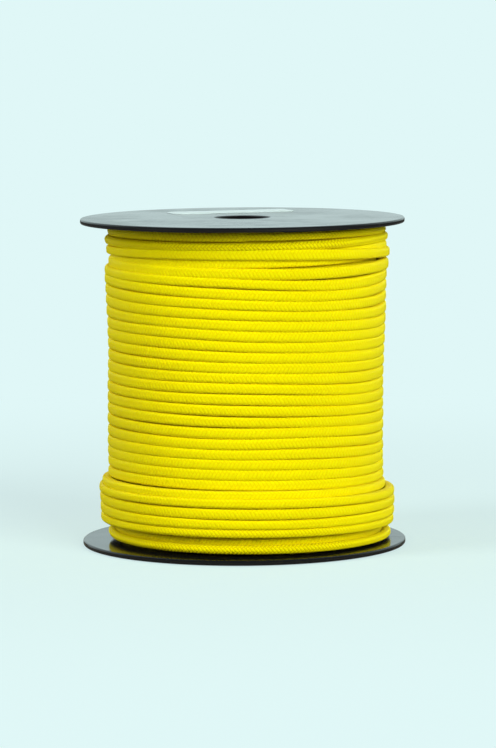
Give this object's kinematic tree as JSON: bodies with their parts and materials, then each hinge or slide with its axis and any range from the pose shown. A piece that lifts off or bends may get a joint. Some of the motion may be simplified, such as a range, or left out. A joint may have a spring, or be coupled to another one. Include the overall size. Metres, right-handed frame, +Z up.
{
  "type": "fishing line spool",
  "caption": "Free-standing flanged plastic spool wound full of yellow braided cord, with a spindle bore through both flanges and a blank label on top.",
  "frame": {"origin": "on the spindle axis, in the plane that the lower flange stands on", "axes": "+Z up along the spindle bore, -Y towards the viewer of the front, +X to the viewer's right"},
  "size_m": [0.095, 0.095, 0.0962],
  "materials": {
    "flange": "glossy moulded black plastic",
    "barrel": "plain extruded tube",
    "cord": "diamond-braided filament yarn",
    "label": "blank white film, satin"
  },
  "bodies": {
    "root": {"flange_bottom": "flange", "flange_top": "flange", "barrel_tube": "barrel", "cord_inner_layers": "cord", "cord_upper_turns": "cord", "cord_lower_turns": "cord", "label": "label"}
  },
  "joints": []
}
